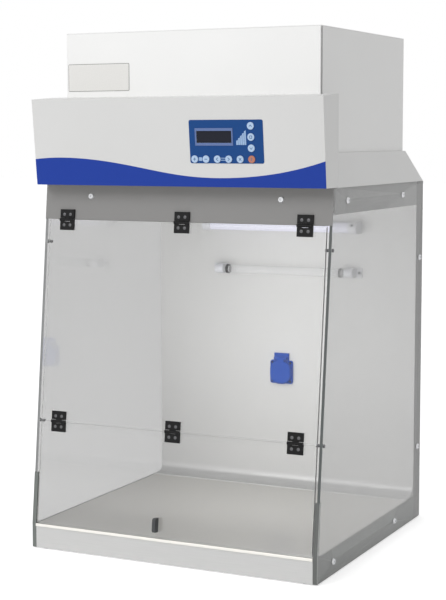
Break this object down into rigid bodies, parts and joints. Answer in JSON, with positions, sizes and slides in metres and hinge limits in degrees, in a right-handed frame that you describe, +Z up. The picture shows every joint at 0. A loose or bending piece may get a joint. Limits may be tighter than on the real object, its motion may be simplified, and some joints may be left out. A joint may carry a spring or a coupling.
{
  "type": "laminar flow hood",
  "caption": "Bench-top laminar flow hood with a clear cabin, a leaning folding door, a blower housing on top and a fascia with a key panel.",
  "frame": {"origin": "centre of the envelope's footprint, on the bench", "axes": "+Z up, -Y out of the front, +X to the right seen from the front"},
  "size_m": [0.545, 0.5204, 0.898],
  "materials": {
    "housing_white": "satin powder coat",
    "fascia_white": "satin powder coat",
    "header_grey": "satin",
    "stainless": "brushed",
    "strip_steel": "brushed",
    "edge_steel": "brushed",
    "clear_acrylic": "clear",
    "black_plastic": "moulded",
    "rubber_black": "matte",
    "screw_steel": "polished",
    "pin_steel": "turned",
    "band_blue": "printed film",
    "panel_blue": "printed film",
    "bezel_lilac": "moulded",
    "display_dark": "glossy",
    "board_green": "lacquered",
    "key_white": "moulded",
    "key_red": "moulded",
    "lid_blue": "moulded",
    "holder_grey": "moulded",
    "lamp_white": "opal",
    "lamp_clear": "clear",
    "filter_alloy": "extruded",
    "filter_paper": "matte",
    "foam_grey": "open cell",
    "galvanised": "galvanised",
    "impeller_alloy": "pressed",
    "motor_black": "satin"
  },
  "bodies": {
    "cabinet": {"base_tray": "strip_steel", "feet": "rubber_black", "work_surface": "stainless", "skirt_left": "edge_steel", "skirt_right": "edge_steel", "back_panel": "stainless", "side_panel_left": "clear_acrylic", "side_panel_right": "clear_acrylic", "top_rail_left": "strip_steel", "top_rail_right": "strip_steel", "header_panel": "header_grey", "shoulder_cowl": "housing_white", "housing_wrap": "housing_white", "housing_front_panel": "housing_white", "panel_gasket": "rubber_black", "top_cover": "housing_white", "prefilter": "foam_grey", "blower_plate": "galvanised", "inlet_ring": "galvanised", "motor_bracket": "galvanised", "motor": "motor_black", "filter_frame": "filter_alloy", "filter_media": "filter_paper", "filter_gasket": "rubber_black", "diffuser": "stainless", "filter_collar": "galvanised", "fascia": "fascia_white", "fascia_graphic": "band_blue", "keypad_overlay": "panel_blue", "display_bezel": "bezel_lilac", "display_module": "display_dark", "control_board": "board_green", "light_tube": "lamp_white", "light_holders": "holder_grey", "uv_tube": "lamp_clear", "uv_holders": "holder_grey", "socket_body": "lid_blue", "power_inlet": "black_plastic", "panel_screws": "screw_steel", "upper_hinge_leaves": "black_plastic", "upper_hinge_pins": "pin_steel", "door_rest_pegs": "pin_steel"},
    "blower_rotor": {"impeller": "impeller_alloy"},
    "door_upper": {"upper_door": "clear_acrylic", "upper_hinge_door_leaves": "black_plastic", "lower_hinge_door_leaves": "black_plastic", "lower_hinge_pins": "pin_steel"},
    "door_lower": {"lower_flap": "clear_acrylic", "lower_hinge_flap_leaves": "black_plastic", "flap_pull": "black_plastic"},
    "lid": {"socket_lid": "lid_blue"},
    "button_1": {"key_1": "key_white"},
    "button_2": {"key_2": "key_white"},
    "button_3": {"key_3": "key_white"},
    "button_4": {"key_4": "key_white"},
    "button_5": {"key_5": "key_white"},
    "button_6": {"key_6": "key_red"},
    "button_7": {"key_7": "key_white"},
    "button_8": {"key_8": "key_white"},
    "button_9": {"key_9": "key_white"}
  },
  "joints": [
    {"name": "blower_spin", "type": "hinge", "parent": "cabinet", "child": "blower_rotor", "pos_m": [0, 0.03294, 0.743], "axis": [0, 0, 1], "continuous": true},
    {"name": "upper_door_hinge", "type": "hinge", "parent": "cabinet", "child": "door_upper", "pos_m": [0, -0.19697, 0.57639], "axis": [-1, 0, 0], "range_deg": [0, 140]},
    {"name": "lower_flap_hinge", "type": "hinge", "parent": "door_upper", "child": "door_lower", "pos_m": [0, -0.23377, 0.22632], "axis": [-1, 0, 0], "range_deg": [0, 165]},
    {"name": "socket_lid_hinge", "type": "hinge", "parent": "cabinet", "child": "lid", "pos_m": [0, 0.22069, 0.292], "axis": [-1, 0, 0], "range_deg": [0, 100], "stiffness_Nm_per_rad": 0.02, "springref_deg": -28.65},
    {"name": "button_1_press", "type": "slide", "parent": "cabinet", "child": "button_1", "axis": [0, 0.9946, 0.1036], "range_m": [0, 0.0008], "stiffness_N_per_m": 400, "springref_m": -0.0005},
    {"name": "button_2_press", "type": "slide", "parent": "cabinet", "child": "button_2", "axis": [0, 0.9946, 0.1036], "range_m": [0, 0.0008], "stiffness_N_per_m": 400, "springref_m": -0.0005},
    {"name": "button_3_press", "type": "slide", "parent": "cabinet", "child": "button_3", "axis": [0, 0.9946, 0.1036], "range_m": [0, 0.0008], "stiffness_N_per_m": 400, "springref_m": -0.0005},
    {"name": "button_4_press", "type": "slide", "parent": "cabinet", "child": "button_4", "axis": [0, 0.9946, 0.1036], "range_m": [0, 0.0008], "stiffness_N_per_m": 400, "springref_m": -0.0005},
    {"name": "button_5_press", "type": "slide", "parent": "cabinet", "child": "button_5", "axis": [0, 0.9946, 0.1036], "range_m": [0, 0.0008], "stiffness_N_per_m": 400, "springref_m": -0.0005},
    {"name": "button_6_press", "type": "slide", "parent": "cabinet", "child": "button_6", "axis": [0, 0.9946, 0.1036], "range_m": [0, 0.0008], "stiffness_N_per_m": 400, "springref_m": -0.0005},
    {"name": "button_7_press", "type": "slide", "parent": "cabinet", "child": "button_7", "axis": [0, 0.9946, 0.1036], "range_m": [0, 0.0008], "stiffness_N_per_m": 400, "springref_m": -0.0005},
    {"name": "button_8_press", "type": "slide", "parent": "cabinet", "child": "button_8", "axis": [0, 0.9946, 0.1036], "range_m": [0, 0.0008], "stiffness_N_per_m": 400, "springref_m": -0.0005},
    {"name": "button_9_press", "type": "slide", "parent": "cabinet", "child": "button_9", "axis": [0, 0.9946, 0.1036], "range_m": [0, 0.0008], "stiffness_N_per_m": 400, "springref_m": -0.0005}
  ]
}
